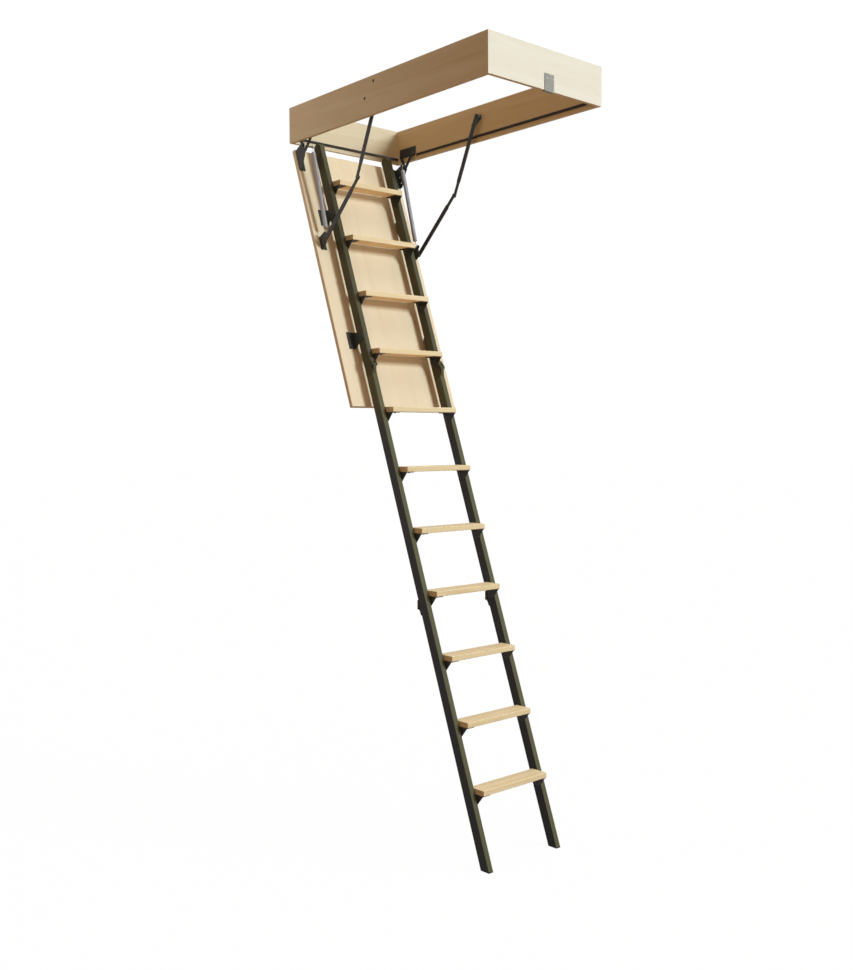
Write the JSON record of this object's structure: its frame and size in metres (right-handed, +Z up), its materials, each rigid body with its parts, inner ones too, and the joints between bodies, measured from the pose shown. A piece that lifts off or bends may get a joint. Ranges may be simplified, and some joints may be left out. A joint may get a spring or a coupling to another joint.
{
  "type": "folding attic ladder",
  "caption": "Attic ladder in a wooden ceiling casing: a sprung hatch on links and folding arms carries a hinged, folding metal ladder with wooden treads.",
  "frame": {"origin": "centre of the casing's lower rim, in the plane of the ceiling", "axes": "+X along the casing from the hinge end to the latch end, +Y across the ladder, +Z up"},
  "size_m": [1.1885, 0.59, 2.945],
  "materials": {
    "casing_ply": "bare pale board, satin",
    "hatch_board": "smooth pale panel with brown edges",
    "tread_wood": "clear-coated birch",
    "seal_rubber": "matte black strip",
    "stile_paint": "satin dark olive powder coat",
    "black_steel": "satin black coat",
    "zinc_steel": "zinc plated",
    "spring_steel": "bright drawn wire",
    "plug_plastic": "matte dark plastic"
  },
  "bodies": {
    "casing": {"casing_near_side": "casing_ply", "casing_far_side": "casing_ply", "casing_hinge_end": "casing_ply", "casing_latch_end": "casing_ply", "casing_seal": "seal_rubber", "hinge_plate_near": "black_steel", "hinge_plate_far": "black_steel", "hinge_plate_pins": "zinc_steel", "arm_plates": "black_steel", "arm_plate_bolts": "black_steel", "arm_plate_pins": "black_steel", "latch_plate": "zinc_steel", "latch_screws": "zinc_steel"},
    "hinge_links": {"hinge_link_near": "black_steel", "hinge_link_far": "black_steel"},
    "hinge_stays": {"hinge_stay_near": "black_steel", "hinge_stay_far": "black_steel"},
    "arm_uppers": {"arm_upper_near": "black_steel", "arm_upper_far": "black_steel", "arm_elbow_rivets": "black_steel"},
    "arm_lowers": {"arm_lower_near": "black_steel", "arm_lower_far": "black_steel"},
    "hatch": {"hatch_panel": "hatch_board", "hinge_bracket_near": "black_steel", "hinge_bracket_far": "black_steel", "hinge_bracket_pins": "zinc_steel", "arm_bracket_near": "black_steel", "arm_bracket_far": "black_steel", "arm_bracket_pins": "zinc_steel", "standoffs_upper": "black_steel", "standoffs_lower": "black_steel", "upper_stile_near": "stile_paint", "upper_stile_far": "stile_paint", "tread_1": "tread_wood", "tread_2": "tread_wood", "tread_3": "tread_wood", "tread_4": "tread_wood", "upper_tread_brackets": "black_steel", "upper_hinge_leaves": "stile_paint", "upper_hinge_pins": "black_steel", "spring_near": "spring_steel", "spring_far": "spring_steel"},
    "mid_section": {"mid_stile_near": "stile_paint", "mid_stile_far": "stile_paint", "tread_5": "tread_wood", "tread_6": "tread_wood", "tread_7": "tread_wood", "tread_8": "tread_wood", "mid_tread_brackets": "black_steel", "mid_hinge_leaves": "stile_paint", "mid_hinge_pins": "black_steel"},
    "bottom_section": {"lower_stile_near": "stile_paint", "lower_stile_far": "stile_paint", "tread_9": "tread_wood", "tread_10": "tread_wood", "tread_11": "tread_wood", "lower_tread_brackets": "black_steel", "lower_hinge_leaves": "stile_paint", "foot_plugs": "plug_plastic"}
  },
  "joints": [
    {"name": "hatch_swing", "type": "hinge", "parent": "casing", "child": "hinge_links", "pos_m": [-0.5459, 0, 0.0284], "axis": [0, -1, 0], "range_deg": [0, 152.3], "deforming": ["spring_near", "spring_far"]},
    {"name": "hatch_on_links", "type": "hinge", "parent": "hinge_links", "child": "hatch", "pos_m": [-0.52389, 0, -0.01425], "axis": [0, -1, 0], "range_deg": [-89.32, 0]},
    {"name": "stay_swing", "type": "hinge", "parent": "casing", "child": "hinge_stays", "pos_m": [-0.4589, 0, 0.0284], "axis": [0, -1, 0], "range_deg": [-89.29, 0]},
    {"name": "arm_upper_swing", "type": "hinge", "parent": "casing", "child": "arm_uppers", "pos_m": [-0.0445, 0, 0.0965], "axis": [0, -1, 0], "range_deg": [-87.2, 0]},
    {"name": "arm_lower_swing", "type": "hinge", "parent": "hatch", "child": "arm_lowers", "pos_m": [-0.40397, 0, -0.42477], "axis": [0, -1, 0], "range_deg": [0, 28.97]},
    {"name": "ladder_fold", "type": "hinge", "parent": "hatch", "child": "mid_section", "pos_m": [-0.17871, 0, -0.93059], "axis": [0, -1, 0], "range_deg": [0, 180]},
    {"name": "bottom_fold", "type": "hinge", "parent": "mid_section", "child": "bottom_section", "pos_m": [0.09509, 0, -1.87751], "axis": [0, -1, 0], "range_deg": [-180, 0]}
  ],
  "couplings": [
    {"joint": "hatch_on_links", "follows": "hatch_swing", "ratio": -0.5864},
    {"joint": "stay_swing", "follows": "hatch_swing", "ratio": -0.58619},
    {"joint": "arm_upper_swing", "follows": "hatch_swing", "ratio": -0.57252},
    {"joint": "arm_lower_swing", "follows": "hatch_swing", "ratio": 0.19018},
    {"joint": "bottom_fold", "follows": "ladder_fold", "ratio": -1}
  ]
}
